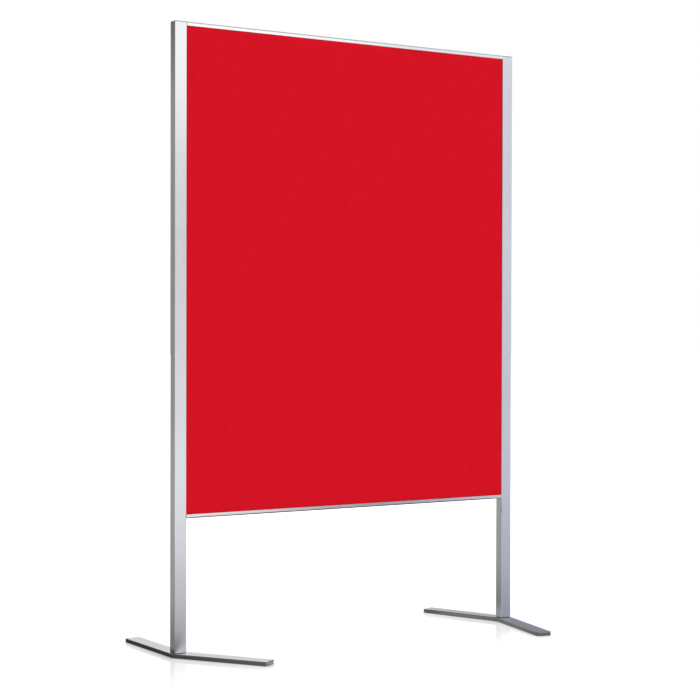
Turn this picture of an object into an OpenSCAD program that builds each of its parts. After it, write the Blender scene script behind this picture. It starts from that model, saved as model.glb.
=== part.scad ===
// Free-standing pinboard. A felt-covered board hangs between two tube posts,
// and each post stands on a V-shaped foot of flat bar that turns about its bolt.
// Millimetres, +Z up. The origin is on the floor, under the middle of the board,
// and the front looks towards -Y.

/* [Overall] */
// Width over both posts
overall_w = 1280; // [800:10:1800]
// Height of the board with its two rails
board_h = 1500; // [900:10:1800]
// Height of the board's lower edge above the floor
ground_gap = 420; // [150:10:800]

/* [Posts] */
// Width of a post, seen from the front
post_w = 40; // [36:1:60]
// Depth of a post, from front to back
post_d = 30; // [26:1:40]
// Wall of the post's tube
post_wall = 2; // [1.5:0.1:2.4]
// Radius of the post's long edges
post_edge_r = 1.5; // [1.5:0.5:4]
// Thickness of the cap that closes a post
cap_t = 3; // [2:0.5:6]
// Radius of the cap's upper edges
cap_edge_r = 2; // [0.5:0.1:2]
// Depth that the cap's skirt reaches into the tube
cap_skirt_h = 14; // [6:1:40]
// Wall of the cap's skirt
cap_wall = 1.5; // [1:0.1:3]

/* [Rails] */
// Height of a rail's face beside the felt
rail_face_h = 12; // [8:1:25]
// Thickness of the two lips that grip the board
rail_lip_t = 1.4; // [1:0.1:1.8]
// Thickness of the web that joins the lips
rail_web_t = 2.5; // [2.4:0.1:4]
// Radius of a rail's long outer edges
rail_edge_r = 4; // [1:0.1:4.4]

/* [Board] */
// Thickness of the felt on each side
felt_t = 2; // [1:0.1:2.4]
// Radius of the felt's side edges
felt_edge_r = 1.4; // [0.4:0.1:1.8]
// Width of the groove between the felt and a post
felt_groove = 2; // [0.6:0.1:4]
// Width of the wooden batten inside each side edge of the board
batten_w = 22; // [18:1:60]

/* [Feet] */
// Width of the flat bar
foot_bar_w = 50; // [44:1:80]
// Thickness of the flat bar
foot_bar_t = 12; // [7:0.5:14]
// Length of an arm along its outer edge
foot_arm_l = 320; // [220:5:450]
// Angle by which each arm is swept in, under the board
foot_sweep_angle = 16.5; // [5:0.5:35]
// Radius of the bar's edges, over and under
foot_edge_r = 2; // [0.4:0.1:3]
// Radius of the corners at the arms' ends, seen from above
foot_corner_r = 5; // [1:0.5:15]
// Turn of the left foot from square, anticlockwise from above, in degrees
left_foot_angle = 17; // [-90:0.5:90]
// Turn of the right foot from square, anticlockwise from above, in degrees
right_foot_angle = 4; // [-90:0.5:90]
// Diameter of a floor glide
glide_d = 22; // [10:1:36]
// Thickness of a floor glide
glide_t = 1; // [1:0.5:5]
// Distance from the end of an arm to the middle of its outer glide
glide_end = 22; // [18:1:60]
// Distance from the bolt to the middle of an inner glide
glide_inner = 60; // [36:1:120]

/* [Foot bolt] */
// Diameter of the bolt that a foot turns on
bolt_d = 10; // [8:0.5:11]
// Diameter of the bolt's countersunk head
bolt_head_d = 20; // [16:0.5:22]
// Depth of the head's face inside the foot
bolt_head_sink = 0.5; // [0.2:0.1:1]
// Length of thread that stands out of the nut
bolt_end = 2; // [0.5:0.5:10]
// Width across the flats of the bolt's hexagon socket
socket_af = 6; // [4:0.5:7]
// Depth of the hexagon socket
socket_depth = 4; // [2:0.5:6]
// Width across the flats of the nut
nut_af = 17; // [15:0.5:18]
// Thickness of the nut
nut_t = 8; // [5:0.5:14]
// Diameter of the friction washer
washer_d = 26; // [22:1:26]
// Thickness of the friction washer
washer_t = 0.8; // [0.5:0.1:3]
// Thickness of the plug's flange under the tube
plug_flange_t = 1; // [1:0.5:4]
// Distance from the post's faces in to the flange's edge
plug_flange_in = 0.5; // [0:0.1:1]
// Depth that the plug reaches into the tube
plug_h = 44; // [24:1:90]

/* [Hooks] */
// Distance from the board's upper and lower edges to the outer hooks
hook_end = 180; // [80:5:300]
// Hooks on each side
hook_count = 3; // [2:1:5]
// Height that the board is lifted to unhook it
hook_drop = 12; // [10:1:16]
// Width of a keyhole plate
plate_w = 17; // [16:0.5:18]
// Length of a keyhole plate
plate_l = 66; // [60:1:90]
// Thickness of a keyhole plate
plate_t = 2; // [1.5:0.1:3]
// Diameter of a stud's neck
stud_neck_d = 8; // [6:0.5:9]
// Diameter of a stud's head
stud_head_d = 13; // [11:0.5:14]
// Thickness of a stud's head
stud_head_t = 3; // [2:0.5:5]
// Diameter of a stud's thread
stud_thread_d = 6; // [4:0.5:6.5]
// Length of a stud's thread
stud_thread_l = 14; // [8:1:24]
// Outer diameter of a rivet nut
rivet_d = 9; // [8:0.5:10]
// Diameter of a rivet nut's countersunk head
rivet_head_d = 11; // [10.5:0.5:12]
// Diameter of the bulge behind the tube's wall
rivet_bulge_d = 12; // [10.5:0.5:14]
// Height of the bulge behind the tube's wall
rivet_bulge_h = 3; // [1:0.5:5]
// Length of a rivet nut
rivet_l = 12; // [8:0.5:20]

/* [Wood screws] */
// Diameter of a rail screw's shank
rail_screw_d = 4; // [3:0.5:5]
// Diameter of a rail screw's head
rail_screw_head_d = 8; // [7:0.5:9]
// Length of a rail screw
rail_screw_l = 35; // [20:1:60]
// Diameter of a plate screw's shank
plate_screw_d = 3; // [2:0.5:3.5]
// Diameter of a plate screw's head
plate_screw_head_d = 6; // [5:0.5:6.5]
// Length of a plate screw
plate_screw_l = 14; // [8:1:18]

/* [Hidden] */
// Gap between the board and each post
board_gap = 0.5;
// Gap between the board's upper edge and the top rail's web
board_float = 0.3;
// Gap between the felt and a rail's lip
lip_clear = 0.1;
// Radial gap of a foot on its bolt
running_fit = 0.08;
// Gap round a piece that slides or is pressed in
slide_fit = 0.15;
// Radial gap between a thread and what it is screwed into
thread_fit = 0.05;
// Radial gap round a shank, neck or head that passes freely
free_fit = 0.25;
// Play between a stud's head and its plate
hook_play = 0.3;
// Smallest radius inside the tube
inner_edge_min = 0.5;
// Run of a cut past the surface that it goes through
overrun = 1;
// Depth and width of a screw's cross recess
recess_depth = 1;
recess_w = 0.8;
// Width of the cross recess, as a share of the head
recess_share = 0.6;
// Round surfaces
$fn = 64;

overall_h = ground_gap + board_h;
post_x = (overall_w - post_w) / 2;
bay_w = overall_w - 2 * post_w;
board_w = bay_w - 2 * board_gap;
inner_w = post_w - 2 * post_wall;
inner_d = post_d - 2 * post_wall;
inner_edge_r = max(post_edge_r - post_wall, inner_edge_min);

panel_t = post_d - 2 * (rail_lip_t + lip_clear);
core_t = panel_t - 2 * felt_t;
panel_z = ground_gap + rail_web_t;
panel_h = board_h - 2 * rail_web_t - board_float;
felt_w = bay_w - 2 * felt_groove;
rail_screw_x = (board_w - batten_w) / 2;

foot_top = glide_t + foot_bar_t;
flange_z = foot_top + washer_t;
post_z = flange_z + plug_flange_t;
post_l = overall_h - cap_t - post_z;
arm_end = foot_arm_l - foot_bar_w / 2 * tan(foot_sweep_angle);
bolt_z = glide_t + bolt_head_sink;
bolt_cone_h = (bolt_head_d - bolt_d) / 2;
nut_z = post_z + plug_h - nut_t;
bolt_l = nut_z + nut_t + bolt_end - bolt_z;

hook_pitch = (board_h - 2 * hook_end) / (hook_count - 1);
hook_zs = [for (i = [0 : hook_count - 1]) ground_gap + hook_end + i * hook_pitch];
entry_d = stud_head_d + 2 * free_fit + 2 * hook_play;
slot_w = stud_neck_d + 2 * free_fit;
neck_l = board_gap + plate_t + hook_play;
pocket_depth = stud_head_t + 2 * hook_play;
plate_mid = -hook_drop / 2;
plate_screw_span = plate_l - plate_w;

left = -1;
right = 1;

// Places what is drawn for the right side, or its mirror image for the left
module on_side(side) {
    mirror([side == left ? 1 : 0, 0, 0]) children();
}

// Places what is drawn at a post's axis for the right side
module at_post(side) {
    on_side(side) translate([post_x, 0, 0]) children();
}

// Places a foot's piece at its post, turned from square to the board
module at_foot(side, turn) {
    translate([side * post_x, 0, 0]) rotate([0, 0, turn]) on_side(side) children();
}

// Places what is drawn with +Z towards the board at each hook of one post
module at_hooks(side) {
    on_side(side)
        for (z = hook_zs)
            translate([bay_w / 2, 0, z]) rotate([0, -90, 0]) children();
}

// Turns an outline so that its width lies along Y, its height along Z, and it runs along X
module run_along_x(length) {
    rotate([90, 0, 90]) linear_extrude(length) children();
}

// The same along Y, centred, with the outline's width along X
module run_along_y(length) {
    rotate([90, 0, 0]) linear_extrude(length, center = true) children();
}

// Rectangle with round corners
module rounded_rect(w, d, r) {
    square([w - 2 * r, d], center = true);
    square([w, d - 2 * r], center = true);
    for (x = [-1, 1], y = [-1, 1])
        translate([x * (w / 2 - r), y * (d / 2 - r)]) circle(r);
}

// Rectangle above the line y = 0, with its two corners on that line rounded
module round_shouldered(w, h, r) {
    intersection() {
        translate([-w / 2, 0]) square([w, h]);
        union() {
            translate([-w / 2, r]) square([w, h]);
            translate([r - w / 2, 0]) square([w - 2 * r, h]);
            for (x = [-1, 1])
                translate([x * (w / 2 - r), r]) circle(r);
        }
    }
}

module hexagon(af) {
    circle(d = af / cos(30), $fn = 6);
}

// Countersunk screw with its head's face at z = 0 and its point up
module countersunk_screw(head_d, shank_d, length) {
    cone_h = (head_d - shank_d) / 2;
    arm_l = head_d * recess_share;
    difference() {
        union() {
            cylinder(h = cone_h, d1 = head_d, d2 = shank_d);
            cylinder(h = length - shank_d, d = shank_d);
            translate([0, 0, length - shank_d]) cylinder(h = shank_d, d1 = shank_d, d2 = 0);
        }
        for (turn = [0, 90])
            rotate([0, 0, turn])
                translate([-arm_l / 2, -recess_w / 2, -recess_depth])
                    cube([arm_l, recess_w, 2 * recess_depth]);
    }
}

// Hole for a countersunk screw whose head's face is at z = 0
module countersunk_hole(head_d, shank_d, length, fit) {
    cone_h = (head_d - shank_d) / 2;
    cylinder(h = cone_h, d1 = head_d + 2 * fit, d2 = shank_d + 2 * fit);
    translate([0, 0, -overrun]) cylinder(h = overrun, d = head_d + 2 * fit);
    cylinder(h = length, d = shank_d + 2 * fit);
}

// Straight hole for a screw's thread, from its head's face down past its point
module pilot_hole(shank_d, length) {
    translate([0, 0, -overrun]) cylinder(h = length + 2 * overrun, d = shank_d + 2 * thread_fit);
}

// Rivet nut with its head's face at z = 0, seen from the board, and its body down in the tube
module rivet_outline(fit) {
    head_h = (rivet_head_d - rivet_d) / 2;
    translate([0, 0, -head_h])
        cylinder(h = head_h, d1 = rivet_d + 2 * fit, d2 = rivet_head_d + 2 * fit);
    translate([0, 0, -rivet_l]) cylinder(h = rivet_l, d = rivet_d + 2 * fit);
}

module post(side) {
    color("silver")
        at_post(side)
            difference() {
                translate([0, 0, post_z])
                    linear_extrude(post_l) rounded_rect(post_w, post_d, post_edge_r);
                translate([0, 0, post_z - overrun])
                    linear_extrude(post_l + 2 * overrun)
                        rounded_rect(inner_w, inner_d, inner_edge_r);
                for (z = hook_zs)
                    translate([-post_w / 2, 0, z]) rotate([0, -90, 0]) rivet_outline(thread_fit);
            }
}

module post_cap(side) {
    skirt_w = inner_w - 2 * slide_fit;
    skirt_d = inner_d - 2 * slide_fit;
    color("dimgray")
        at_post(side) translate([0, 0, overall_h - cap_t]) {
            intersection() {
                linear_extrude(cap_t) rounded_rect(post_w, post_d, post_edge_r);
                translate([-post_w / 2, 0, cap_t])
                    run_along_x(post_w) mirror([0, 1]) round_shouldered(post_d, cap_t, cap_edge_r);
                translate([0, 0, cap_t])
                    run_along_y(post_d) mirror([0, 1]) round_shouldered(post_w, cap_t, cap_edge_r);
            }
            translate([0, 0, -cap_skirt_h])
                linear_extrude(cap_skirt_h)
                    difference() {
                        rounded_rect(skirt_w, skirt_d, inner_edge_r);
                        square([skirt_w - 2 * cap_wall, skirt_d - 2 * cap_wall], center = true);
                    }
        }
}

// Rail with its outer face at z = 0 and its lips up
module rail() {
    difference() {
        translate([-board_w / 2, 0, 0])
            run_along_x(board_w)
                difference() {
                    round_shouldered(post_d, rail_face_h, rail_edge_r);
                    translate([-panel_t / 2 - lip_clear, rail_web_t])
                        square([panel_t + 2 * lip_clear, rail_face_h]);
                }
        for (x = [-1, 1])
            translate([x * rail_screw_x, 0, 0])
                countersunk_hole(rail_screw_head_d, rail_screw_d, rail_web_t + overrun, thread_fit);
    }
}

module top_rail() {
    color("gainsboro") translate([0, 0, overall_h]) mirror([0, 0, 1]) rail();
}

module bottom_rail() {
    color("gainsboro") translate([0, 0, ground_gap]) rail();
}

// Places what is drawn with its head down at the bottom rail's and the top rail's screws
module at_rail_screws() {
    for (x = [-1, 1]) {
        translate([x * rail_screw_x, 0, ground_gap]) children();
        translate([x * rail_screw_x, 0, overall_h]) mirror([0, 0, 1]) children();
    }
}

module rail_screws() {
    color("gray")
        at_rail_screws() countersunk_screw(rail_screw_head_d, rail_screw_d, rail_screw_l);
}

module core_board() {
    width = board_w - 2 * batten_w;
    color("burlywood")
        translate([-width / 2, -core_t / 2, panel_z]) cube([width, core_t, panel_h]);
}

module plate_outline(fit) {
    translate([0, plate_mid]) {
        square([plate_w + 2 * fit, plate_screw_span], center = true);
        for (y = [-1, 1])
            translate([0, y * plate_screw_span / 2]) circle(d = plate_w + 2 * fit);
    }
}

// Round opening below a slot, along y from the stud's seat at zero
module keyhole(opening_d, channel_w) {
    translate([0, -hook_drop]) circle(d = opening_d);
    translate([-channel_w / 2, -hook_drop]) square([channel_w, hook_drop]);
    circle(d = channel_w);
}

// Places what is drawn at a plate's two screws, for an outline in the plate's plane
module at_plate_screws() {
    for (y = [-1, 1])
        translate([0, plate_mid + y * plate_screw_span / 2, 0]) children();
}

// Places what is drawn in the plane of the board's side edge at each hook:
// x is across the edge, y is up, and +Z goes into the board
module at_plates(side) {
    on_side(side)
        for (z = hook_zs)
            translate([board_w / 2, 0, z]) rotate([90, 0, -90]) children();
}

module batten(side) {
    color("tan")
        difference() {
            on_side(side)
                translate([board_w / 2 - batten_w, -core_t / 2, panel_z])
                    cube([batten_w, core_t, panel_h]);
            at_plates(side) {
                translate([0, 0, -overrun])
                    linear_extrude(plate_t + overrun) plate_outline(slide_fit);
                linear_extrude(plate_t + pocket_depth) keyhole(entry_d, entry_d);
                at_plate_screws() pilot_hole(plate_screw_d, plate_screw_l);
            }
            at_rail_screws() pilot_hole(rail_screw_d, rail_screw_l);
        }
}

module keyhole_plates() {
    color("lightsteelblue")
        for (side = [left, right])
            at_plates(side)
                difference() {
                    linear_extrude(plate_t) plate_outline(0);
                    translate([0, 0, -overrun])
                        linear_extrude(plate_t + 2 * overrun) keyhole(entry_d, slot_w);
                    at_plate_screws()
                        countersunk_hole(plate_screw_head_d, plate_screw_d, plate_t + overrun,
                            thread_fit);
                }
}

module plate_screws() {
    color("gray")
        for (side = [left, right])
            at_plates(side)
                at_plate_screws()
                    countersunk_screw(plate_screw_head_d, plate_screw_d, plate_screw_l);
}

module post_studs() {
    color("dimgray")
        for (side = [left, right])
            at_hooks(side) {
                translate([0, 0, -stud_thread_l]) cylinder(h = stud_thread_l, d = stud_thread_d);
                cylinder(h = neck_l, d = stud_neck_d);
                translate([0, 0, neck_l]) cylinder(h = stud_head_t, d = stud_head_d);
            }
}

module rivet_nuts() {
    color("lightgray")
        for (side = [left, right])
            at_hooks(side)
                difference() {
                    union() {
                        rivet_outline(0);
                        translate([0, 0, -post_wall - thread_fit - rivet_bulge_h])
                            cylinder(h = rivet_bulge_h, d = rivet_bulge_d);
                    }
                    translate([0, 0, -rivet_l - overrun])
                        cylinder(h = rivet_l + 2 * overrun, d = stud_thread_d + 2 * thread_fit);
                }
}

// Felt on the front, with its side edges rounded
module felt() {
    translate([0, -panel_t / 2, panel_z])
        linear_extrude(panel_h) round_shouldered(felt_w, felt_t, felt_edge_r);
}

module front_felt() {
    color("crimson") felt();
}

module back_felt() {
    color("crimson") mirror([0, 1, 0]) felt();
}

module foot_plug(side) {
    flange_w = post_w - 2 * plug_flange_in;
    flange_d = post_d - 2 * plug_flange_in;
    color([0.12, 0.12, 0.13])
        at_post(side)
            difference() {
                union() {
                    translate([0, 0, flange_z])
                        linear_extrude(plug_flange_t)
                            rounded_rect(flange_w, flange_d, post_edge_r - plug_flange_in);
                    translate([0, 0, post_z])
                        linear_extrude(plug_h)
                            rounded_rect(inner_w - 2 * slide_fit, inner_d - 2 * slide_fit,
                                inner_edge_r);
                }
                translate([0, 0, flange_z - overrun])
                    cylinder(h = plug_h + plug_flange_t + 2 * overrun, d = bolt_d + 2 * free_fit);
                translate([0, 0, nut_z])
                    linear_extrude(nut_t + overrun) hexagon(nut_af + 2 * slide_fit);
            }
}

module foot_nut(side) {
    color("gray")
        at_post(side)
            translate([0, 0, nut_z])
                difference() {
                    linear_extrude(nut_t) hexagon(nut_af);
                    translate([0, 0, -overrun])
                        cylinder(h = nut_t + 2 * overrun, d = bolt_d + 2 * thread_fit);
                }
}

module foot_bolt(side) {
    color("gray")
        at_post(side)
            translate([0, 0, bolt_z])
                difference() {
                    union() {
                        cylinder(h = bolt_cone_h, d1 = bolt_head_d, d2 = bolt_d);
                        cylinder(h = bolt_l, d = bolt_d);
                    }
                    translate([0, 0, -overrun])
                        linear_extrude(socket_depth + overrun) hexagon(socket_af);
                }
}

module friction_washer(side) {
    color([0.2, 0.2, 0.2])
        at_post(side)
            translate([0, 0, foot_top])
                difference() {
                    cylinder(h = washer_t, d = washer_d);
                    translate([0, 0, -overrun])
                        cylinder(h = washer_t + 2 * overrun, d = bolt_d + 2 * free_fit);
                }
}

// Flat bar along X with all its edges rounded, its lower face at z = 0
module flat_bar(length) {
    translate([length / 2, 0, foot_bar_t / 2])
        intersection() {
            translate([-length / 2, 0, 0])
                run_along_x(length) rounded_rect(foot_bar_w, foot_bar_t, foot_edge_r);
            run_along_y(foot_bar_w) rounded_rect(length, foot_bar_t, foot_edge_r);
            linear_extrude(foot_bar_t, center = true)
                rounded_rect(length, foot_bar_w, foot_corner_r);
        }
}

// One arm, mitred on the line between the two arms
module foot_arm() {
    intersection() {
        rotate([0, 0, 90 + foot_sweep_angle])
            translate([-foot_bar_w, 0, glide_t]) flat_bar(arm_end + foot_bar_w);
        translate([-foot_arm_l, 0, 0]) cube([2 * foot_arm_l, 2 * foot_arm_l, 2 * foot_top]);
    }
}

module foot(side, turn) {
    color([0.78, 0.79, 0.81])
        at_foot(side, turn)
            difference() {
                union() {
                    foot_arm();
                    mirror([0, 1, 0]) foot_arm();
                }
                translate([0, 0, bolt_z])
                    countersunk_hole(bolt_head_d, bolt_d, foot_bar_t, running_fit);
            }
}

module foot_glides(side, turn) {
    color([0.15, 0.15, 0.16])
        at_foot(side, turn)
            for (y = [0, 1])
                mirror([0, y, 0])
                    rotate([0, 0, 90 + foot_sweep_angle])
                        for (along = [glide_inner, arm_end - glide_end])
                            translate([along, 0, 0]) cylinder(h = glide_t, d = glide_d);
}

post(left);  // left_post
post(right);  // right_post
post_cap(left);  // left_post_cap
post_cap(right);  // right_post_cap
top_rail();
bottom_rail();
core_board();
batten(left);  // left_batten
batten(right);  // right_batten
front_felt();
back_felt();
rail_screws();
keyhole_plates();
plate_screws();
post_studs();
rivet_nuts();
foot_plug(left);  // left_foot_plug
foot_plug(right);  // right_foot_plug
foot_nut(left);  // left_foot_nut
foot_nut(right);  // right_foot_nut
foot_bolt(left);  // left_foot_bolt
foot_bolt(right);  // right_foot_bolt
friction_washer(left);  // left_friction_washer
friction_washer(right);  // right_friction_washer
foot(left, left_foot_angle);  // left_foot
foot(right, right_foot_angle);  // right_foot
foot_glides(left, left_foot_angle);  // left_foot_glides
foot_glides(right, right_foot_angle);  // right_foot_glides
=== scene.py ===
import math

import bmesh
import bpy
from bpy.props import FloatProperty, FloatVectorProperty, PointerProperty
from mathutils import Matrix, Vector, noise


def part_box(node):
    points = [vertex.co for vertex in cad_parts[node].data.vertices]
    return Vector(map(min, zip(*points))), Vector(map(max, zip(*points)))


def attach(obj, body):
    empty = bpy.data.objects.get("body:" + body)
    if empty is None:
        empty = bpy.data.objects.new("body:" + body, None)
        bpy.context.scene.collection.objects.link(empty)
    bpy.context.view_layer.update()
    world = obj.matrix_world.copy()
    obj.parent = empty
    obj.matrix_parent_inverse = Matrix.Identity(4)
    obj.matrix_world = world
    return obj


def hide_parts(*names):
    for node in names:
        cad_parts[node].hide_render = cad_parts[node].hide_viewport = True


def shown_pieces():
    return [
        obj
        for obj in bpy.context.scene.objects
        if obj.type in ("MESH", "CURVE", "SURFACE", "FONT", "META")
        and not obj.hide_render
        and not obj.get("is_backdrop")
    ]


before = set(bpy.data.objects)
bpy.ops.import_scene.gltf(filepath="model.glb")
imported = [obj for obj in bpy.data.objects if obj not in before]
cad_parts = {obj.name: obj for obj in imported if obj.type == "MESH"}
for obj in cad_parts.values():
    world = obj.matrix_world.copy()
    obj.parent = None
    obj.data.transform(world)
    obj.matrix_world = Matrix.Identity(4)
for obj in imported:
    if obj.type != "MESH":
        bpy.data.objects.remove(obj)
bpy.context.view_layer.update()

bl_info = {
    "name": "Felt pinboard",
    "version": (1, 0, 0),
    "blender": (4, 5, 0),
    "location": "3D View > Sidebar > Pinboard",
    "description": "Cloth, metal and studio for a pinboard on two posts",
    "category": "Object",
}

STAND = "stand"
SIDES = ("left", "right")

BLACK = (0.0, 0.0, 0.0, 1.0)
WHITE = (1.0, 1.0, 1.0, 1.0)

# Colours of the small and the hidden pieces
ZINC = (0.56, 0.58, 0.62)
RIVET_ALUMINIUM = (0.70, 0.71, 0.73)
STUD_BLACK = (0.09, 0.09, 0.10)
BOLT_BLACK = (0.08, 0.08, 0.09)
GLIDE_RUBBER = (0.045, 0.045, 0.05)
PLUG_NYLON = (0.05, 0.05, 0.055)
WASHER_FIBRE = (0.10, 0.09, 0.085)
CORE_FIBRES = (0.44, 0.30, 0.17)
WOOD_LIGHT = (0.66, 0.46, 0.26)
WOOD_DARK = (0.46, 0.27, 0.12)

# Shaders: where a sum of noises mostly lies, how upright a foot's top face and its bevels are,
# which sets where the feet get painted shade, and half the width of the seam between a foot's arms
NOISE_SPAN = (0.3, 0.7)
TOP_FACING = (0.85, 0.98)
BEVEL_SHADE_FACING = (0.2, 0.6)
ARM_SEAM = 0.005

# Cloth mesh: steps round a rolled or nipped edge, the short step at a rail's lip, the waves'
# places per metre, what sets the back's waves apart from the front's, and a hair's breadth
EDGE_TURNS = 6
LIP_STEP = 0.0004
WAVES = 7.0
WAVE_SHIFT = 3.0
TINY = 1e-6

# Floor, key lamp and camera
FLOOR_SEGMENTS = 96
FLOOR_GREY = (0.3, 0.3, 0.3, 1.0)
FLOOR_IOR = 1.2
SHADOW_SAMPLES = 8
MIRROR_START = 0.04
KEY_DISTANCE = 5.0
SENSOR_WIDTH = 36.0
CLIP_START = 0.05
CLIP_END = 500.0

# Light cards: their cool tints, their emission, which lets a level pass 1, and how high over
# the floor the level ones lie
LAVENDER = (0.985, 0.995, 1.13, 1.0)
VIOLET = (0.97, 0.98, 1.20, 1.0)
CARD_STRENGTH = 1.25
LOW_CARD = 0.0008
FRONT_CARD = 0.001
FOOT_CARD = 0.0016


# Shader building

class Socket:
    """A node's output. Sums and products of such values add their Math nodes."""

    def __init__(self, tree, socket):
        self.tree = tree
        self.socket = socket

    def math(self, operation, *values):
        return self.tree.add("ShaderNodeMath", {"operation": operation}, values)["Value"]

    def __add__(self, other):
        return self.math("ADD", self, other)

    def __radd__(self, other):
        return self.math("ADD", other, self)

    def __sub__(self, other):
        return self.math("SUBTRACT", self, other)

    def __rsub__(self, other):
        return self.math("SUBTRACT", other, self)

    def __mul__(self, other):
        return self.math("MULTIPLY", self, other)

    def __truediv__(self, other):
        return self.math("DIVIDE", self, other)

    def __pow__(self, other):
        return self.math("POWER", self, other)

    def __abs__(self):
        return self.math("ABSOLUTE", self)

    def most(self, other):
        """The larger of the two."""
        return self.math("MAXIMUM", self, other)

    def stray(self, spread):
        """Turns noise around 0.5 into a value that strays to either side of 0."""
        return (self - 0.5) * spread

    def step(self, low, high):
        """Runs smoothly from 0 at low to 1 at high."""
        return self.tree.add(
            "ShaderNodeMapRange",
            {"interpolation_type": "SMOOTHSTEP"},
            {"Value": self, "From Min": low, "From Max": high},
        )["Result"]


class Tree:
    """One node tree, emptied and built anew."""

    def __init__(self, node_tree):
        self.nodes = node_tree.nodes
        self.links = node_tree.links
        self.nodes.clear()

    def add(self, kind, settings=None, inputs=None):
        """Adds a node and returns its outputs by name.

        Its settings come first, then its sockets' values or links, by name or in order.
        """
        node = self.nodes.new(kind)
        for name, value in (settings or {}).items():
            if name == "stops":
                self.set_stops(node.color_ramp, value)
            else:
                setattr(node, name, value)
        sockets = [s for s in node.inputs if s.enabled]
        if isinstance(inputs, dict):
            pairs = [(next(s for s in sockets if s.name == n), v) for n, v in inputs.items()]
        else:
            pairs = zip(sockets, inputs or ())
        for socket, value in pairs:
            if isinstance(value, Socket):
                self.links.new(value.socket, socket)
            else:
                socket.default_value = value
        return {s.name: Socket(self, s) for s in node.outputs if s.enabled}

    @staticmethod
    def set_stops(ramp, stops):
        """Gives a colour ramp its stops, each a place from 0 to 1 and a colour."""
        while len(ramp.elements) < len(stops):
            ramp.elements.new(1.0)
        for element, (place, colour) in zip(ramp.elements, stops):
            element.position = place
            element.color = colour

    def place(self):
        """The point on the piece, in metres, which stays put as the piece moves."""
        return self.add("ShaderNodeTexCoord")["Object"]

    def scaled(self, point, x, y, z):
        """The point with its coordinates multiplied."""
        return self.add("ShaderNodeVectorMath", {"operation": "MULTIPLY"}, (point, (x, y, z)))[
            "Vector"
        ]

    def part(self, vector, axis):
        """One coordinate of a vector."""
        return self.add("ShaderNodeSeparateXYZ", None, (vector,))[axis]

    def turned(self, point, centre, angle):
        """The point turned anticlockwise about an upright axis."""
        return self.add(
            "ShaderNodeVectorRotate",
            {"rotation_type": "Z_AXIS"},
            {"Vector": point, "Center": centre, "Angle": angle},
        )["Vector"]

    def noise(self, point, scale, detail=2.0, roughness=0.5):
        """Cloudy noise around 0.5."""
        return self.add(
            "ShaderNodeTexNoise",
            None,
            {"Vector": point, "Scale": scale, "Detail": detail, "Roughness": roughness},
        )["Fac"]

    def cells(self, point, scale, output="Distance"):
        """Distance from the nearest of scattered points, or another output of theirs."""
        return self.add("ShaderNodeTexVoronoi", None, {"Vector": point, "Scale": scale})[output]

    def mix(self, share, a, b, blend="MIX"):
        """Mixes two colours."""
        return self.add(
            "ShaderNodeMix", {"data_type": "RGBA", "blend_type": blend}, (share, a, b)
        )["Result"]

    def shades(self, share, colour, first, last):
        """Mixes two levels of one colour."""
        return self.mix(share, colour_of(colour, first), colour_of(colour, last))

    def ramp(self, axis, levels, tint):
        """Colour that follows stops, each a place along an axis in metres and its level."""
        first, last = levels[0][0], levels[-1][0]
        stops = [((at - first) / (last - first), colour_of(tint, level)) for at, level in levels]
        share = (self.part(self.place(), axis) - first) / (last - first)
        return self.add("ShaderNodeValToRGB", {"stops": stops}, (share,))["Color"]

    def bump(self, height, strength, distance):
        """Normal of a surface that stands up by height times distance."""
        return self.add(
            "ShaderNodeBump", None, {"Strength": strength, "Distance": distance, "Height": height}
        )["Normal"]

    def output(self, kind, shader):
        """Ends the tree with a shader."""
        self.add(kind, None, {"Surface": shader})


def colour_of(rgb, level=1.0):
    """Colour with alpha, lighter or darker by level."""
    return (*(min(1.0, c * level) for c in rgb[:3]), 1.0)


def new_material(name):
    """Makes a material, and gives it and its empty tree."""
    material = bpy.data.materials.new(name)
    material.use_nodes = True
    return material, Tree(material.node_tree)


def finish(name, build, **constants):
    """Makes a surface. build(tree) gives its shader's links, and constants its plain values."""
    material, tree = new_material(name)
    inputs = {key.replace("_", " "): value for key, value in constants.items()}
    inputs.update(build(tree))
    shader = tree.add("ShaderNodeBsdfPrincipled", None, inputs)["BSDF"]
    tree.output("ShaderNodeOutputMaterial", shader)
    return material


def anodised(name, colour, roughness, along):
    """Satin anodised aluminium with its drawing lines running along one axis."""
    fine, long = 900.0, 5.0
    stretch = [long if axis == along else fine for axis in "XYZ"]

    def build(tree):
        point = tree.place()
        lines = tree.noise(tree.scaled(point, *stretch), scale=1.0, detail=3.0, roughness=0.6)
        clouds = tree.noise(point, scale=9.0, detail=3.0)
        tone = lines * 0.6 + clouds * 0.4
        return {
            "Base Color": tree.shades(tone.step(*NOISE_SPAN), colour, 0.96, 1.04),
            "Roughness": roughness + lines.stray(0.10) + clouds.stray(0.06),
            "Normal": tree.bump(lines, strength=0.08, distance=0.0002),
        }

    return finish(name, build, Metallic=1.0)


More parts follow.
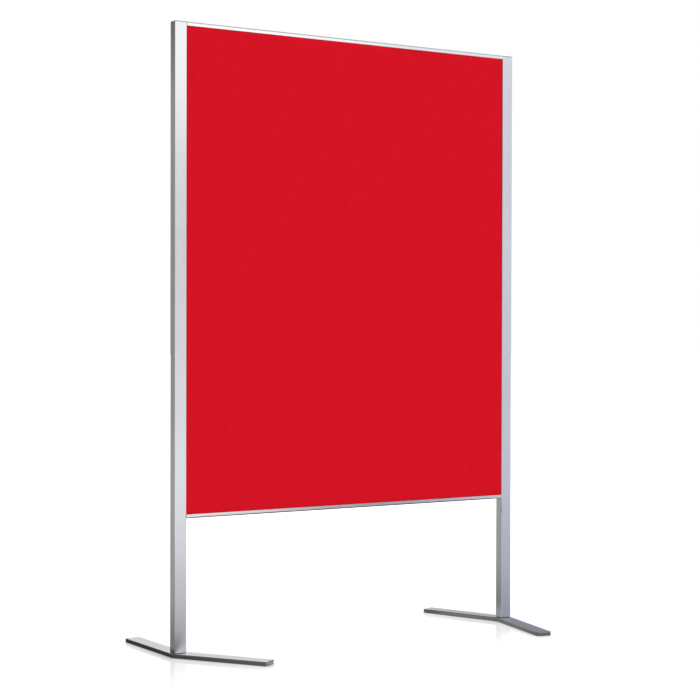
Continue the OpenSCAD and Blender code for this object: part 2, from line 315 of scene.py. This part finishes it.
def silver_coat(name, metal, hub, turn, lean):
    """Silver coat over drawn flat bar, with fine lines along each arm and painted shade on its
    side faces and bevels.

    A foot turns about its hub. Its arms lean to either side of its own Y axis.
    """
    fine, long = 150.0, 2.5

    def build(tree):
        point = tree.place()
        facing = tree.part(tree.add("ShaderNodeTexCoord")["Normal"], "Z")
        top = abs(facing).step(*TOP_FACING)
        bevel_shade = abs(facing).step(*BEVEL_SHADE_FACING)
        peel = tree.noise(point, scale=900.0)
        flakes = tree.cells(point, scale=2500.0)
        own = tree.turned(point, hub, -turn)
        back = tree.part(own, "Y").step(-ARM_SEAM, ARM_SEAM)
        back_lines, front_lines = (
            tree.noise(
                tree.scaled(tree.turned(own, hub, angle), fine, long, fine),
                scale=1.0, detail=4.0, roughness=0.6,
            )
            for angle in (lean, -lean)
        )
        lines = back_lines * back + front_lines * (1 - back)
        tone = lines * 0.7 + flakes * 0.3
        body = tree.shades(tone.step(*NOISE_SPAN), metal.foot, 0.90, 1.10)
        # Painted shade: the side faces take the edge-shade colour and the bevels a third of it;
        # only the top keeps the coat's own tone
        edge = tree.shades(bevel_shade, metal.foot_edge_shade, 1.0, 0.3)
        return {
            "Base Color": tree.mix(top, edge, body),
            "Roughness": metal.foot_satin + peel.stray(0.12) + lines.stray(0.10),
            "Normal": tree.bump(peel, strength=0.10, distance=0.0004),
        }

    return finish(name, build, Metallic=1.0)


def moulded(name, colour, roughness, grain):
    """Moulded plastic or rubber with a fine pebbled grain."""

    def build(tree):
        point = tree.place()
        pebbles = tree.cells(point, grain)
        clouds = tree.noise(point, scale=40.0, detail=3.0)
        return {
            "Base Color": tree.shades(clouds, colour, 0.85, 1.15),
            "Roughness": roughness + pebbles.stray(0.12),
            "Normal": tree.bump(pebbles, strength=0.15, distance=0.0003),
        }

    return finish(name, build)


def plated(name, colour, roughness, patch):
    """Plated or blackened steel, with the patchy tone of a bath finish."""

    def build(tree):
        point = tree.place()
        patches = tree.cells(point, patch, output="Color")
        clouds = tree.noise(point, scale=60.0, detail=3.0)
        grey = tree.add("ShaderNodeRGBToBW", None, (patches,))["Val"]
        tone = grey * 0.35 + clouds * 0.65
        return {
            "Base Color": tree.shades(tone, colour, 0.8, 1.15),
            "Roughness": roughness + tone.stray(0.2),
            "Normal": tree.bump(clouds, strength=0.1, distance=0.0002),
        }

    return finish(name, build, Metallic=1.0)


def timber(name, light, dark):
    """Planed softwood with its grain along Z."""

    def build(tree):
        point = tree.scaled(tree.place(), 1.0, 1.0, 0.06)
        rings = tree.add(
            "ShaderNodeTexWave",
            {"wave_type": "RINGS", "rings_direction": "Z"},
            {"Vector": point, "Scale": 60.0, "Distortion": 4.0, "Detail": 3.0},
        )["Fac"]
        fibres = tree.noise(point, scale=2400.0)
        tone = rings * 0.7 + fibres * 0.3
        return {
            "Base Color": tree.mix(tone, colour_of(light), colour_of(dark)),
            "Roughness": 0.62 + tone * 0.15,
            "Normal": tree.bump(tone, strength=0.2, distance=0.0002),
        }

    return finish(name, build)


def fibreboard(name, colour):
    """Soft fibreboard with short lighter and darker fibres."""

    def build(tree):
        point = tree.place()
        fibres = tree.noise(
            tree.scaled(point, 1.0, 1.0, 3.0), scale=420.0, detail=4.0, roughness=0.7
        )
        clumps = tree.noise(point, scale=60.0, detail=3.0)
        tone = fibres * 0.7 + clumps * 0.3
        return {
            "Base Color": tree.shades(tone.step(*NOISE_SPAN), colour, 0.78, 1.15),
            "Roughness": 0.88 + fibres.stray(0.1),
            "Normal": tree.bump(fibres, strength=0.4, distance=0.0006),
        }

    return finish(name, build)


def felt_cloth(settings):
    """Pressed wool felt: matted fibres, small flecks and soft clouds of tone."""
    colour = settings.colour
    spread = settings.fleck
    warp_reach = 0.012
    fibre_stretch = 0.22

    def build(tree):
        point = tree.place()
        warp = tree.add(
            "ShaderNodeTexNoise", None, {"Vector": point, "Scale": 160.0, "Detail": 2.0}
        )["Color"]
        bent = tree.add(
            "ShaderNodeVectorMath",
            {"operation": "MULTIPLY_ADD"},
            (warp, (warp_reach, warp_reach, warp_reach), point),
        )["Vector"]
        upright_fibres, level_fibres = (
            tree.noise(tree.scaled(bent, *stretch), scale=2600.0, detail=3.0, roughness=0.6)
            for stretch in ((1.0, 1.0, fibre_stretch), (fibre_stretch, 1.0, 1.0))
        )
        mat = upright_fibres.most(level_fibres)
        flecks = tree.noise(bent, scale=330.0, detail=3.0, roughness=0.6)
        clouds = tree.noise(point, scale=38.0, detail=3.0)
        tone = mat * 0.4 + flecks * 0.4 + clouds * 0.2
        return {
            "Base Color": tree.shades(tone.step(0.38, 0.66), colour, 1.0 - spread, 1.0 + spread),
            "Roughness": 0.9 + mat.stray(0.15),
            "Normal": tree.bump(
                mat * 0.6 + flecks * 0.4, strength=0.35, distance=settings.nap
            ),
        }

    return finish(
        "felt_cloth",
        build,
        Specular_IOR_Level=0.03,
        Sheen_Weight=0.12,
        Sheen_Roughness=0.6,
        Sheen_Tint=colour_of(colour),
    )


# Mesh building

def dress(node, material):
    """Gives a CAD node its finish."""
    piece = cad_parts[node]
    if not piece.material_slots:
        piece.data.materials.append(None)
    for slot in piece.material_slots:
        slot.material = material


def place_mesh(name, mesh, material):
    """Puts a bmesh into the scene as an object of its own."""
    data = bpy.data.meshes.new(name)
    mesh.to_mesh(data)
    mesh.free()
    data.materials.append(material)
    piece = bpy.data.objects.new(name, data)
    bpy.context.scene.collection.objects.link(piece)
    return piece


def new_piece(name, mesh, material):
    """Turns a bmesh's faces outwards and puts it into the scene."""
    bmesh.ops.recalc_face_normals(mesh, faces=mesh.faces)
    return place_mesh(name, mesh, material)


def even_steps(start, end, largest):
    """Points from start to end, spaced evenly and no more than largest apart."""
    count = max(1, math.ceil(abs(end - start) / largest))
    return [start + (end - start) * i / count for i in range(count + 1)]


def felt_shape(box, outward, settings):
    """Cloth over one side of the board: rolled at the posts and nipped in under the rails."""
    low, high = box
    half = (high.x - low.x) / 2
    base = high.y if outward < 0 else low.y
    thick = high.y - low.y
    roll = settings.roll
    wrap = settings.wrap
    skin = settings.skin
    crown = thick + settings.puff

    # Across the board: (distance from the middle, height over the board)
    side = [(half + wrap, 0.0), (half + wrap, skin), (half + skin, skin), (half, 2 * skin)]
    for i in range(EDGE_TURNS + 1):
        angle = math.pi / 2 * i / EDGE_TURNS
        side.append((half - roll * (1 - math.cos(angle)), crown - roll * (1 - math.sin(angle))))
    inner = side[-1][0]
    field = even_steps(-inner, inner, settings.grid)[1:-1]
    across = [(-x, h) for x, h in side] + [(x, crown) for x in field] + side[::-1]

    # Up the board: (height, share of the crown that is reached, or -1 under a lip)
    lip = settings.lip
    nip = settings.nip
    up = [(low.z, -1.0), (low.z + lip - LIP_STEP, -1.0)]
    for i in range(EDGE_TURNS + 1):
        share = i / EDGE_TURNS
        up.append((low.z + lip + nip * share, math.sin(math.pi / 2 * share)))
    middle = even_steps(up[-1][0], high.z - (up[-1][0] - low.z), settings.grid)[1:-1]
    up = up + [(z, 1.0) for z in middle] + [(high.z - (z - low.z), s) for z, s in up[::-1]]

    mesh = bmesh.new()
    rows = []
    for z, share in up:
        row = []
        for x, height in across:
            if share < 1.0:
                pressed = min(height, settings.nipped)
                height = pressed + (height - pressed) * max(0.0, share)
            if height >= crown - TINY:
                wave = noise.noise(Vector((x * WAVES, outward * WAVE_SHIFT, z * WAVES)))
                height += settings.wave * wave
            row.append(mesh.verts.new((x, base + outward * height, z)))
        rows.append(row)
    for lower, upper in zip(rows, rows[1:]):
        for i in range(len(across) - 1):
            mesh.faces.new((lower[i], lower[i + 1], upper[i + 1], upper[i]))
        mesh.faces.new((lower[-1], lower[0], upper[0], upper[-1]))
    mesh.faces.new(rows[0])
    mesh.faces.new(rows[-1])
    for face in mesh.faces:
        face.smooth = len(face.verts) == 4
    return mesh


# Settings that a user would change

class FeltSettings(bpy.types.PropertyGroup):
    """Cloth of the board."""

    colour: FloatVectorProperty(
        name="Colour", description="Colour of the felt", subtype="COLOR",
        default=(0.765, 0.0076, 0.0205), min=0.0, max=1.0,
    )
    fleck: FloatProperty(
        name="Fleck", description="How far the fibres' tone strays from the colour",
        subtype="FACTOR", default=0.07, min=0.0, max=0.5,
    )
    nap: FloatProperty(
        name="Nap", description="Depth of the matted fibres",
        unit="LENGTH", default=0.0005, min=0.0, max=0.003,
    )
    roll: FloatProperty(
        name="Edge roll", description="Radius of the cloth's edge along the posts",
        unit="LENGTH", default=0.0016, min=0.0005, max=0.003,
    )
    wrap: FloatProperty(
        name="Edge wrap", description="Width of cloth that lies in the groove along a post",
        unit="LENGTH", default=0.0014, min=0.0002, max=0.0018,
    )
    skin: FloatProperty(
        name="Edge skin", description="Thickness of the cloth in that groove",
        unit="LENGTH", default=0.0004, min=0.0001, max=0.001,
    )
    puff: FloatProperty(
        name="Puff", description="Height that the cloth stands over its pressed thickness",
        unit="LENGTH", default=0.0007, min=0.0, max=0.002,
    )
    lip: FloatProperty(
        name="Lip cover", description="Height of cloth that a rail's lip covers",
        unit="LENGTH", default=0.0095, min=0.0, max=0.03,
    )
    nip: FloatProperty(
        name="Nip", description="Width over which the cloth dips to a rail",
        unit="LENGTH", default=0.0022, min=0.0005, max=0.01,
    )
    nipped: FloatProperty(
        name="Nipped thickness", description="Thickness of the cloth under a rail's lip",
        unit="LENGTH", default=0.0012, min=0.0002, max=0.002,
    )
    wave: FloatProperty(
        name="Unevenness", description="Height of the cloth's gentle waves",
        unit="LENGTH", default=0.00015, min=0.0, max=0.001,
    )
    grid: FloatProperty(
        name="Mesh size", description="Largest mesh step over the cloth",
        unit="LENGTH", default=0.014, min=0.004, max=0.1,
    )


class MetalSettings(bpy.types.PropertyGroup):
    """Finishes of posts, rails, caps and feet."""

    post: FloatVectorProperty(
        name="Posts", description="Tone of the anodised posts", subtype="COLOR",
        default=(0.87, 0.88, 0.91), min=0.0, max=1.0,
    )
    # Painted light: the rails' tone is lighter than the posts' to stand in for light falling on
    # the top rail from above
    rail: FloatVectorProperty(
        name="Rails", description="Tone of the anodised rails", subtype="COLOR",
        default=(0.97, 0.975, 0.98), min=0.0, max=1.0,
    )
    cap: FloatVectorProperty(
        name="Caps", description="Colour of the posts' caps", subtype="COLOR",
        default=(0.30, 0.31, 0.33), min=0.0, max=1.0,
    )
    foot: FloatVectorProperty(
        name="Feet", description="Colour of the feet's coat", subtype="COLOR",
        default=(0.60, 0.60, 0.62), min=0.0, max=1.0,
    )
    # Painted shade: the feet's side faces take this colour and their bevels a third of it
    foot_edge_shade: FloatVectorProperty(
        name="Feet's edges", description="Colour of the bar's edges", subtype="COLOR",
        default=(0.50, 0.50, 0.51), min=0.0, max=1.0,
    )
    sweep: FloatProperty(
        name="Sweep", description="Angle between a foot's arm and the foot's own middle line",
        subtype="ANGLE", default=math.radians(16.5), min=0.0, max=math.pi / 2,
    )
    left_turn: FloatProperty(
        name="Left foot's turn",
        description="Turn of the left foot from square, for its drawing lines",
        subtype="ANGLE", default=math.radians(17.0), min=-math.pi, max=math.pi,
    )
    right_turn: FloatProperty(
        name="Right foot's turn",
        description="Turn of the right foot from square, for its drawing lines",
        subtype="ANGLE", default=math.radians(4.0), min=-math.pi, max=math.pi,
    )
    foot_satin: FloatProperty(
        name="Feet's satin", description="Roughness of the feet's coat",
        subtype="FACTOR", default=0.30, min=0.05, max=1.0,
    )
    satin: FloatProperty(
        name="Satin", description="Roughness of the anodised surfaces",
        subtype="FACTOR", default=0.22, min=0.05, max=1.0,
    )


class StageSettings(bpy.types.PropertyGroup):
    """Studio around the board."""

    ambient: FloatProperty(
        name="Ambient", description="Level of the light from all round",
        default=0.50, min=0.0, max=2.0,
    )
    key: FloatProperty(
        name="Key light", description="Strength of the lamp in front of the board",
        default=2.2, min=0.0, max=10.0,
    )
    key_azimuth: FloatProperty(
        name="Key's direction", description="Turn of the key lamp from straight in front",
        subtype="ANGLE", default=math.radians(-15.0), min=-math.pi, max=math.pi,
    )
    key_height: FloatProperty(
        name="Key's height", description="Angle of the key lamp over the horizon",
        subtype="ANGLE", default=math.radians(40.0), min=0.0, max=math.pi / 2,
    )
    key_size: FloatProperty(
        name="Key's size", description="Angle that the key lamp fills",
        subtype="ANGLE", default=math.radians(40.0), min=0.0, max=math.pi,
    )
    floor_glow: FloatProperty(
        name="Floor white", description="White that the camera sees in the floor at large",
        subtype="FACTOR", default=0.83, min=0.0, max=1.0,
    )
    # Painted shade: the floor's white drops to this around each post
    mirror_and_shade_glow: FloatProperty(
        name="Floor white at the posts",
        description="White that the camera sees in the floor right at a post",
        subtype="FACTOR", default=0.625, min=0.0, max=1.0,
    )
    mirror_and_shade_reach: FloatProperty(
        name="Mirror reach", description="How far from a post the floor reaches its full white",
        unit="LENGTH", default=0.49, min=0.05, max=5.0,
    )
    post_x: FloatProperty(
        name="Post place", description="Distance of each post's middle from the board's middle",
        unit="LENGTH", default=0.62, min=0.1, max=2.0,
    )
    contact: FloatProperty(
        name="Contact shadow", description="Reach of the shadow where a piece meets the floor",
        unit="LENGTH", default=0.045, min=0.0, max=0.5,
    )
    floor_size: FloatProperty(
        name="Floor", description="Radius of the floor",
        unit="LENGTH", default=60.0, min=3.0, max=200.0,
    )
    lens: FloatProperty(
        name="Lens", description="Focal length of the camera",
        unit="CAMERA", default=89.973, min=10.0, max=300.0,
    )
    camera: FloatVectorProperty(
        name="Camera", description="Place of the camera", subtype="TRANSLATION",
        default=(-3.045470, -4.723130, 0.997973),
    )
    look: FloatVectorProperty(
        name="Look", description="Camera's turn to the right, tilt up and roll", subtype="EULER",
        default=(math.radians(32.786), math.radians(-0.728), math.radians(0.128)),
    )


class PinboardSettings(bpy.types.PropertyGroup):
    """All settings of the pinboard."""

    felt: PointerProperty(type=FeltSettings)
    metal: PointerProperty(type=MetalSettings)
    stage: PointerProperty(type=StageSettings)


# Operators

class PINBOARD_OT_posts(bpy.types.Operator):
    """Gives the posts and their caps their finish"""

    bl_idname = "pinboard.posts"
    bl_label = "Dress posts"

    def execute(self, context):
        metal = context.scene.pinboard.metal
        tube = anodised("post_anodised", metal.post, metal.satin, "Z")
        cap = moulded("cap_plastic", metal.cap, roughness=0.45, grain=1800.0)
        for side in SIDES:
            dress(f"{side}_post", tube)
            dress(f"{side}_post_cap", cap)
        return {"FINISHED"}


class PINBOARD_OT_rails(bpy.types.Operator):
    """Gives the rails their finish"""

    bl_idname = "pinboard.rails"
    bl_label = "Dress rails"

    def execute(self, context):
        metal = context.scene.pinboard.metal
        # Painted light: lighter than the posts' metal, for the light on the top rail
        rail = anodised("rail_anodised", metal.rail, metal.satin, "X")
        for end in ("top", "bottom"):
            dress(f"{end}_rail", rail)
        return {"FINISHED"}


class PINBOARD_OT_felts(bpy.types.Operator):
    """Covers both sides of the board with felt"""

    bl_idname = "pinboard.felts"
    bl_label = "Make felt"

    def execute(self, context):
        settings = context.scene.pinboard.felt
        cloth = felt_cloth(settings)
        for face, outward in (("front", -1), ("back", 1)):
            node = f"{face}_felt"
            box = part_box(node)
            piece = new_piece(f"{face}_felt_cloth", felt_shape(box, outward, settings), cloth)
            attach(piece, STAND)
            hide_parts(node)
        return {"FINISHED"}


class PINBOARD_OT_board(bpy.types.Operator):
    """Gives the core board and its battens their finish"""

    bl_idname = "pinboard.board"
    bl_label = "Dress board"

    def execute(self, context):
        dress("core_board", fibreboard("core_fibres", CORE_FIBRES))
        wood = timber("batten_wood", WOOD_LIGHT, WOOD_DARK)
        for side in SIDES:
            dress(f"{side}_batten", wood)
        return {"FINISHED"}


class PINBOARD_OT_hooks(bpy.types.Operator):
    """Gives the hook plates, studs, rivet nuts and small screws their finish"""

    bl_idname = "pinboard.hooks"
    bl_label = "Dress hooks"

    def execute(self, context):
        zinc = plated("zinc_plate", ZINC, roughness=0.38, patch=700.0)
        black = plated("stud_black_oxide", STUD_BLACK, roughness=0.42, patch=500.0)
        for node in ("keyhole_plates", "plate_screws", "rail_screws"):
            dress(node, zinc)
        dress("post_studs", black)
        rivet = plated("rivet_aluminium", RIVET_ALUMINIUM, roughness=0.48, patch=400.0)
        dress("rivet_nuts", rivet)
        return {"FINISHED"}


class PINBOARD_OT_feet(bpy.types.Operator):
    """Gives the feet and their glides their finish"""

    bl_idname = "pinboard.feet"
    bl_label = "Dress feet"

    def execute(self, context):
        metal = context.scene.pinboard.metal
        glide = moulded("glide_rubber", GLIDE_RUBBER, roughness=0.7, grain=900.0)
        for side, turn, lean in (
            ("left", metal.left_turn, metal.sweep), ("right", metal.right_turn, -metal.sweep)
        ):
            low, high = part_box(f"{side}_foot_bolt")
            coat = silver_coat(f"{side}_foot_coat", metal, (low + high) / 2, turn, lean)
            dress(f"{side}_foot", coat)
            dress(f"{side}_foot_glides", glide)
        return {"FINISHED"}


class PINBOARD_OT_swivels(bpy.types.Operator):
    """Gives the swivels' plugs, washers, bolts and nuts their finish"""

    bl_idname = "pinboard.swivels"
    bl_label = "Dress swivels"

    def execute(self, context):
        plug = moulded("plug_nylon", PLUG_NYLON, roughness=0.5, grain=1500.0)
        washer = moulded("washer_fibre", WASHER_FIBRE, roughness=0.8, grain=2600.0)
        zinc = plated("nut_zinc", ZINC, roughness=0.36, patch=600.0)
        black = plated("bolt_black_oxide", BOLT_BLACK, roughness=0.4, patch=500.0)
        for side in SIDES:
            dress(f"{side}_foot_plug", plug)
            dress(f"{side}_friction_washer", washer)
            dress(f"{side}_foot_nut", zinc)
            dress(f"{side}_foot_bolt", black)
        return {"FINISHED"}


def seen_ray(tree):
    """1 for rays that show the background: straight from the camera, mirrored or through glass."""
    path = tree.add("ShaderNodeLightPath")
    return path["Is Camera Ray"].most(path["Is Glossy Ray"]).most(path["Is Transmission Ray"])


def direction(azimuth, height):
    """Direction towards a point in the sky; azimuth turns right from straight in front."""
    return Vector((
        math.sin(azimuth) * math.cos(height),
        -math.cos(azimuth) * math.cos(height),
        math.sin(height),
    ))


def make_floor(settings):
    """Grey, sharply mirroring floor that glows white where it is seen.

    Under and beside a piece the glow gives way to a painted contact shadow. Around each post it is
    weaker, a painted shade on the floor that also lets the post's mirror image show there and fade
    outwards.
    """
    mesh = bmesh.new()
    bmesh.ops.create_circle(
        mesh, cap_ends=True, radius=settings.floor_size, segments=FLOOR_SEGMENTS
    )

    def build(tree):
        open_sky = tree.add(
            "ShaderNodeAmbientOcclusion",
            {"samples": SHADOW_SAMPLES},
            {"Distance": settings.contact},
        )["AO"]
        point = tree.add("ShaderNodeSeparateXYZ", None, (tree.place(),))
        reach = ((abs(point["X"]) - settings.post_x) ** 2.0 + point["Y"] ** 2.0) ** 0.5
        away = reach.step(MIRROR_START, settings.mirror_and_shade_reach)
        # Painted shade: the floor's glow is weaker near each post and gives way to a painted
        # contact shadow
        glow = tree.shades(away, WHITE, settings.mirror_and_shade_glow, settings.floor_glow)
        return {"Emission Color": tree.mix(seen_ray(tree) * open_sky, BLACK, glow)}

    material = finish(
        "stage_floor", build, Base_Color=FLOOR_GREY, Roughness=0.0, IOR=FLOOR_IOR,
        Emission_Strength=1.0,
    )
    material.cycles.emission_sampling = "NONE"
    new_piece("stage_floor", mesh, material)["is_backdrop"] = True


def make_world(settings):
    """White around the object, and a softer even light on it."""
    world = bpy.data.worlds.new("stage_world")
    world.use_nodes = True
    tree = Tree(world.node_tree)
    ambient = settings.ambient
    soft = tree.add("ShaderNodeBackground", None, ((ambient, ambient, ambient, 1.0), 1.0))
    white = tree.add("ShaderNodeBackground", None, (WHITE, 1.0))
    shader = tree.add(
        "ShaderNodeMixShader", None, (seen_ray(tree), soft["Background"], white["Background"])
    )["Shader"]
    tree.output("ShaderNodeOutputWorld", shader)
    world.cycles.sampling_method = "NONE"
    bpy.context.scene.world = world


def card_material(name, axis, levels, tint, across):
    """Glow of a card, whose level follows stops along one axis.

    The card's back is clear. All of it is clear in sharp mirrors, so that the floor shows the
    white around the object and not the cards.
    """
    material, tree = new_material(name)
    shade = tree.ramp(axis, [(at, level / CARD_STRENGTH) for at, level in levels], tint)
    if across:
        shade = tree.mix(1.0, shade, tree.ramp(*across, WHITE), "MULTIPLY")
    glow = tree.add("ShaderNodeEmission", None, {"Color": shade, "Strength": CARD_STRENGTH})[
        "Emission"
    ]
    clear = tree.add("ShaderNodeBsdfTransparent")["BSDF"]
    back = tree.add("ShaderNodeNewGeometry")["Backfacing"]
    hidden = back.most(tree.add("ShaderNodeLightPath")["Is Singular Ray"])
    shader = tree.add("ShaderNodeMixShader", None, (hidden, glow, clear))["Shader"]
    tree.output("ShaderNodeOutputMaterial", shader)
    material.cycles.emission_sampling = "NONE"
    return material


def make_card(name, corners, material):
    """Card that only shows in what is glossy, to give the metal its shape."""
    mesh = bmesh.new()
    mesh.faces.new([mesh.verts.new(corner) for corner in corners])
    card = place_mesh(name, mesh, material)
    for kind in ("camera", "diffuse", "shadow", "transmission", "volume_scatter"):
        setattr(card, f"visible_{kind}", False)
    card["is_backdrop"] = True


def upright(start, end, low, high):
    """Corners of an upright card from one floor point to another, facing right of that heading."""
    (x1, y1), (x2, y2) = start, end
    return [(x1, y1, low), (x2, y2, low), (x2, y2, high), (x1, y1, high)]


def level_card(least, most, height, up):
    """Corners of a level card between two floor points, facing up or down."""
    (x1, y1), (x2, y2) = least, most
    corners = [(x1, y1, height), (x2, y1, height), (x2, y2, height), (x1, y2, height)]
    return corners if up else corners[::-1]


def card(name, corners, axis, levels, tint=WHITE, across=None):
    """Row for a card: the axis and stops of its level, and a second pair that darkens it."""
    return name, corners, axis, levels, tint, across


# Levels of what the metal sees of the floor: front to back, and the fall to the right
FLOOR_LEVELS = (
    (-3.4, 0.86), (-2.7, 0.79), (-1.9, 0.64), (-1.4, 0.55), (-1.05, 0.50), (-0.7, 0.43),
    (-0.28, 0.36), (0.0, 0.27), (0.3, 0.19), (0.65, 0.25), (0.9, 0.31), (1.3, 0.33), (2.5, 0.35),
)
FLOOR_FALL = ("X", ((0.2, 1.0), (1.2, 0.93), (2.0, 0.80), (2.75, 0.69)))

CARDS = (
    # Around the board
    card("front", upright((2.2, -3.5), (-1.2, -3.9), 0.0, 2.9), "Z", (
        (0.0, 1.02), (0.3, 0.90), (0.75, 0.81), (1.1, 0.77), (1.5, 0.66), (1.8, 0.67),
        (1.95, 0.80), (2.15, 0.98), (2.4, 1.12), (2.9, 1.20),
    )),
    card("right", upright((5.5, -1.5), (2.2, -3.5), 0.0, 2.55), "Z", (
        (0.0, 0.67), (0.3, 0.68), (1.3, 0.72), (2.2, 0.66), (2.55, 0.68),
    ), LAVENDER),
    card("dip", upright((2.60, -3.1), (1.72, -3.4), 0.0, 1.3), "Z", ((0.0, 0.06), (1.3, 0.10))),
    card(
        "left_front", upright((-1.2, -3.9), (-3.6, -3.5), 0.0, 4.0), "Z",
        ((0.0, 0.36), (4.0, 0.32)),
    ),
    card("left", upright((-3.6, -3.5), (-5.5, 1.5), 0.0, 4.0), "Z", ((0.0, 0.32), (4.0, 0.28))),
    card(
        "behind_right", upright((3.4, 4.4), (5.5, 3.5), 1.3, 4.0), "Z",
        ((1.3, 0.14), (4.0, 0.12)),
    ),
    card(
        "far_right", upright((5.5, 3.5), (5.5, -1.5), 0.0, 4.0), "Z",
        ((0.0, 0.30), (4.0, 0.30)), LAVENDER,
    ),
    card("side", upright((-5.5, 1.5), (-1.0, 3.7), 0.0, 4.5), "Z", (
        (0.0, 0.37), (0.3, 0.35), (0.7, 0.275), (1.2, 0.28), (1.6, 0.27), (1.95, 0.30),
        (2.15, 0.33), (2.28, 0.24), (2.4, 0.15), (4.5, 0.13),
    )),
    card(
        "over", level_card((-5.0, -5.0), (5.0, 5.0), 3.6, False), "Z",
        ((3.0, 0.42), (4.0, 0.42)),
    ),
    # Under the board, with slanted ends that the posts don't mirror in the photograph's view
    card(
        "under_rail",
        [(-0.53, -0.14, 0.37), (0.69, -0.14, 0.37), (0.49, 0.10, 0.37), (-0.60, 0.10, 0.37)],
        "X", ((-0.59, 0.10), (-0.3, 0.05), (0.0, 0.01), (0.59, 0.01)),
    ),
    # At the feet
    card(
        "left_back_arm", level_card((-0.70, -0.02), (-0.60, 0.45), FOOT_CARD, True), "Y",
        ((0.0, 0.04), (0.45, 0.03)),
    ),
    card(
        "left_front_arm", level_card((-0.75, -0.34), (-0.475, -0.02), FOOT_CARD, True), "Y",
        ((-0.34, 0.17), (-0.20, 0.14), (-0.02, 0.06)),
    ),
    card(
        "left_tip", level_card((-0.44, -0.36), (-0.33, -0.20), FOOT_CARD, True), "Y",
        ((-0.36, 0.55), (-0.20, 0.55)),
    ),
    card("right_arms", level_card((0.36, -0.40), (0.64, 0.42), FOOT_CARD, True), "Y", (
        (-0.40, 0.13), (-0.30, 0.15), (-0.15, 0.30), (0.0, 0.25), (0.1, 0.32), (0.20, 0.34),
        (0.26, 0.19),
    )),
    card(
        "right_foot", upright((0.648, 0.0), (0.577, -0.310), 0.0, 0.045), "Z",
        ((0.0, 0.35), (0.045, 0.35)), VIOLET,
    ),
    # On the floor
    card(
        "low_front", level_card((-3.5, -3.5), (-0.76, -0.1), FRONT_CARD, True), "Y",
        ((-3.4, 0.27), (-0.1, 0.14)),
    ),
    card(
        "low_left", level_card((-3.5, -3.5), (0.67, 3.5), LOW_CARD, True), "Y",
        FLOOR_LEVELS, WHITE, FLOOR_FALL,
    ),
    card(
        "low_right", level_card((0.67, -3.5), (3.5, 3.5), LOW_CARD, True), "Y",
        FLOOR_LEVELS, LAVENDER, FLOOR_FALL,
    ),
)


def make_cards():
    """Cards for what the glossy metal mirrors: light panels, dark gaps and the floor."""
    for name, corners, axis, levels, tint, across in CARDS:
        material = card_material(f"card_{name}", axis, levels, tint, across)
        make_card(f"stage_card_{name}", corners, material)


def make_key(settings, receivers):
    """Lamp in front of the board, for the object alone."""
    lamp = bpy.data.lights.new("stage_key", "SUN")
    lamp.energy = settings.key
    lamp.angle = settings.key_size
    key = bpy.data.objects.new("stage_key", lamp)
    towards = direction(settings.key_azimuth, settings.key_height)
    key.location = towards * KEY_DISTANCE
    key.rotation_mode = "QUATERNION"
    key.rotation_quaternion = towards.to_track_quat("Z", "Y")
    bpy.context.scene.collection.objects.link(key)
    key.light_linking.receiver_collection = receivers


def make_camera(settings):
    """Camera at the photograph's place."""
    data = bpy.data.cameras.new("stage_camera")
    data.sensor_fit = "HORIZONTAL"
    data.sensor_width = SENSOR_WIDTH
    data.lens = settings.lens
    data.clip_start = CLIP_START
    data.clip_end = CLIP_END
    camera = bpy.data.objects.new("stage_camera", data)
    turn, tilt, roll = settings.look
    look = Matrix.Rotation(-turn, 3, "Z") @ Matrix.Rotation(math.pi / 2 + tilt, 3, "X")
    camera.rotation_mode = "QUATERNION"
    camera.rotation_quaternion = (look @ Matrix.Rotation(roll, 3, "Z")).to_quaternion()
    camera.location = settings.camera
    bpy.context.scene.collection.objects.link(camera)
    bpy.context.scene.camera = camera


class PINBOARD_OT_stage(bpy.types.Operator):
    """Sets up the floor, the light and the camera"""

    bl_idname = "pinboard.stage"
    bl_label = "Set stage"

    def execute(self, context):
        settings = context.scene.pinboard.stage
        receivers = bpy.data.collections.new("pinboard_pieces")
        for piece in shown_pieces():
            receivers.objects.link(piece)
        make_floor(settings)
        make_world(settings)
        make_cards()
        make_key(settings, receivers)
        make_camera(settings)
        context.scene.view_settings.view_transform = "Standard"
        return {"FINISHED"}


STEPS = ("posts", "rails", "felts", "board", "hooks", "feet", "swivels", "stage")


class PINBOARD_PT_panel(bpy.types.Panel):
    """Pinboard settings and steps"""

    bl_idname = "PINBOARD_PT_panel"
    bl_label = "Pinboard"
    bl_space_type = "VIEW_3D"
    bl_region_type = "UI"
    bl_category = "Pinboard"

    def draw(self, context):
        settings = context.scene.pinboard
        for group in (settings.felt, settings.metal, settings.stage):
            box = self.layout.box()
            for name in group.__annotations__:
                box.prop(group, name)
        for step in STEPS:
            self.layout.operator(f"pinboard.{step}")


CLASSES = (
    FeltSettings,
    MetalSettings,
    StageSettings,
    PinboardSettings,
    PINBOARD_OT_posts,
    PINBOARD_OT_rails,
    PINBOARD_OT_felts,
    PINBOARD_OT_board,
    PINBOARD_OT_hooks,
    PINBOARD_OT_feet,
    PINBOARD_OT_swivels,
    PINBOARD_OT_stage,
    PINBOARD_PT_panel,
)


def register():
    for cls in CLASSES:
        bpy.utils.register_class(cls)
    bpy.types.Scene.pinboard = PointerProperty(type=PinboardSettings)


def unregister():
    del bpy.types.Scene.pinboard
    for cls in reversed(CLASSES):
        bpy.utils.unregister_class(cls)


def main():
    register()
    for step in STEPS:
        getattr(bpy.ops.pinboard, step)()


if __name__ == "__main__":
    main()
